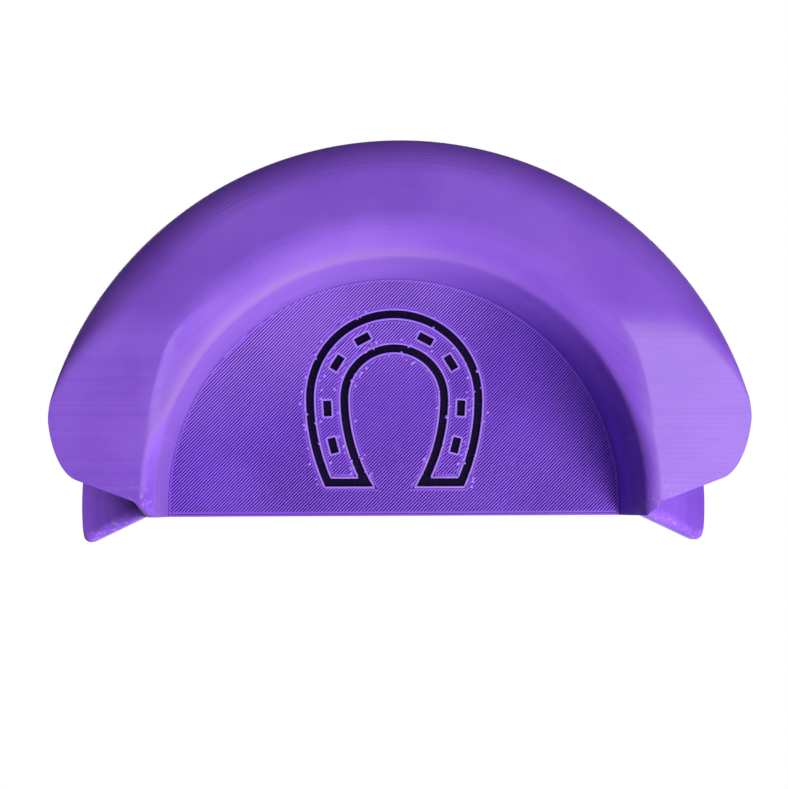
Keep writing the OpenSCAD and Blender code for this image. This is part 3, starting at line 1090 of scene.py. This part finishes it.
def face_skin():
    """The printed top skin of the face plate as real lines of filament."""
    bm = bmesh.new()
    for run in skin_runs():
        lay_bead(bm, run, SLANT)
    for k in range(BOTTOM_BEADS):
        inset = BEAD_W * (k + 0.5)
        half = math.sqrt(FACE_R ** 2 - (UNDERSIDE + inset) ** 2) - SKIN_EDGE
        line = np.arange(-half, half, BEAD_STEP)
        lay_bead(bm, np.column_stack((line, np.full(len(line), UNDERSIDE + inset))), EDGE)
    for k in range(GROOVE_BEADS):
        grow = GROOVE_W / 2 + BEAD_W * (k + 0.5)
        # The first line beside the engraving gets painted highlight
        finish = EDGE if k else PALE
        lay_bead(bm, shoe_loop(grow), finish, closed=True)
        lay_bead(bm, shoe_loop(-grow), finish, closed=True)
    for place in nail_places():
        for k in range(NAIL_BEADS):
            lay_bead(bm, nail_loop(place, BEAD_W * (k + 0.5)), PALE, closed=True)
    # The stray drops get painted highlight
    drops = np.random.RandomState(DROP_SEED)
    for _ in range(DROP_COUNT):
        grow = drops.choice((-1, 1)) * (GROOVE_W / 2 + drops.uniform(*DROP_WAY))
        line = shoe_loop(grow)
        x, up = line[drops.randint(len(line))]
        drop_blob(bm, x, up, drops.uniform(*DROP_R), PALE)
    finishes = [skin_print, skin_edge_print, skin_highlight_print]
    return finish_mesh("face_plate_skin", bm, finishes, "cover")


def softbox(name, right, rise, power):
    """A round soft lamp that looks at the middle of the rack."""
    lamp = bpy.data.lights.new(name, "AREA")
    lamp.shape = "DISK"
    lamp.size = LAMP_SIZE * MM
    lamp.energy = power
    a, e = math.radians(right), math.radians(rise)
    way = Vector(at(math.sin(a) * math.cos(e), math.sin(e), math.cos(a) * math.cos(e))) / MM
    holder = bpy.data.objects.new(name, lamp)
    bpy.context.scene.collection.objects.link(holder)
    holder.visible_camera = False
    holder.location = Vector(at(*LAMP_MIDDLE)) + way * LAMP_REACH * MM
    holder.rotation_mode = "QUATERNION"
    holder.rotation_quaternion = way.to_track_quat("Z", "Y")


def studio():
    """Floor far below the rack, white surroundings and soft light from low on the right."""
    half = FLOOR_HALF * MM
    level = cad_box[0].z - FLOOR_DROP * MM
    mesh = bpy.data.meshes.new("floor")
    corners = [(-half, -half, 0), (half, -half, 0), (half, half, 0), (-half, half, 0)]
    mesh.from_pydata(corners, [], [(0, 1, 2, 3)])
    mesh.materials.append(floor_finish("pale_floor"))
    floor = bpy.data.objects.new("floor", mesh)
    floor.location.z = level
    bpy.context.scene.collection.objects.link(floor)

    world = bpy.data.worlds.new("surroundings")
    graph = Graph(world)
    colour = graph.mixed(seen_directly(graph), DIM_SKY, WHITE)
    sky = graph.node("ShaderNodeBackground", None, {"Color": colour, "Strength": 1.0})
    graph.node("ShaderNodeOutputWorld", None, {"Surface": sky})
    bpy.context.scene.world = world

    for name, lamp in LAMPS.items():
        softbox(name, *lamp)


def camera():
    lens = bpy.data.cameras.new("camera")
    lens.sensor_width = CAMERA_SENSOR_W
    lens.lens = CAMERA_LENS
    lens.clip_start, lens.clip_end = CAMERA_CLIP
    holder = bpy.data.objects.new("camera", lens)
    holder.location = at(*CAMERA_AT)
    holder.rotation_euler = [math.radians(turn) for turn in CAMERA_TURNS]
    bpy.context.scene.collection.objects.link(holder)
    bpy.context.scene.camera = holder


lip_print = print_finish(
    "lip_print", layer_bump=LIP_LAYER_BUMP, sheen_and_crumbs=True, gloss=FACET_GLOSS, specular=LIP_SPECULAR
)
saddle_print = print_finish("saddle_print", sheen_and_crumbs=True, specular=SADDLE_SPECULAR)
plate_print = print_finish("plate_print", skin_side=0.0)
face_print = print_finish("face_print", skin_side=-WALL_PLATE_T)
skin_print = skin_finish("skin_print")
skin_edge_print = print_finish("skin_edge_print", layer_bump=0.0, roughness=EDGE_ROUGHNESS)
# Painted highlight on the rim lines beside the engraving and on the drops
skin_highlight_print = shaded_finish("skin_highlight_print", SKIN_RIM_HIGHLIGHT, PURPLE_WHITE)
# Painted shade on the ground between the slanting lines
gap_painted_shade = shaded_finish("gap_painted_shade", PURPLE_SHADE, PURPLE_DUSK)
# Painted shade: the engraved lines and nail slots are near-black to stand for the shade deep in them
groove_painted_shade = shaded_finish("groove_painted_shade", NAVY, NAVY_PALE)
zinc_steel = screw_finish("zinc_steel")

for node, finish in (("wall_plate", plate_print), ("saddle_screws", zinc_steel)):
    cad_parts[node].data.materials.clear()
    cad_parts[node].data.materials.append(finish)

camera()
studio()
front_lip()
saddle()
face_plate()
face_skin()

bpy.context.scene.view_settings.view_transform = "Standard"
